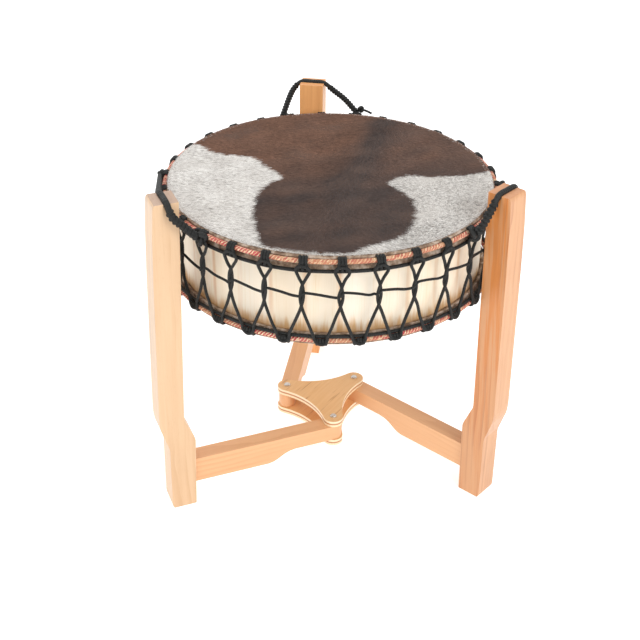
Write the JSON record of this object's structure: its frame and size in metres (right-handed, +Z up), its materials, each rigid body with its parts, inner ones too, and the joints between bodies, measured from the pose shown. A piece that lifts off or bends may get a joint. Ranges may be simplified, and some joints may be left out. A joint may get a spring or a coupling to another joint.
{
  "type": "ceremonial frame drum on stand",
  "caption": "Round rope-laced drum with a cowhide head, hung by rope loops from the grooved legs of a folding wooden stand.",
  "frame": {"origin": "the middle of the overall box, on the floor under the three feet", "axes": "+Z up, -Y towards the front of the drum, +X to its right"},
  "size_m": [0.6744, 0.6982, 0.6655],
  "materials": {
    "shell_wood": "bare pale wood, satin",
    "top_hide": "cowhide with its short hair, brown and white",
    "bottom_hide": "bare rawhide, matt",
    "ring_wrap": "red and cream braid, matt",
    "black_rope": "black braided cord, matt",
    "stand_wood": "oiled beech, satin",
    "plywood": "clear-coated plywood, satin",
    "nickel": "nickel plated, bright"
  },
  "bodies": {
    "root": {"shell": "shell_wood", "drum_head_top": "top_hide", "drum_head_bottom": "bottom_hide", "ring_top": "ring_wrap", "ring_bottom": "ring_wrap", "running_line_top": "black_rope", "running_line_bottom": "black_rope", "lacing": "black_rope", "hub_plate_bottom": "plywood", "hub_plate_top": "plywood", "pivot_bolt_left": "nickel", "pivot_nut_left": "nickel", "arm_left": "stand_wood", "leg_left": "stand_wood", "hanging_loop_left": "black_rope", "pivot_bolt_right": "nickel", "pivot_nut_right": "nickel", "arm_right": "stand_wood", "leg_right": "stand_wood", "hanging_loop_right": "black_rope", "pivot_bolt_back": "nickel", "pivot_nut_back": "nickel", "arm_back": "stand_wood", "leg_back": "stand_wood", "hanging_loop_back": "black_rope"}
  },
  "joints": []
}
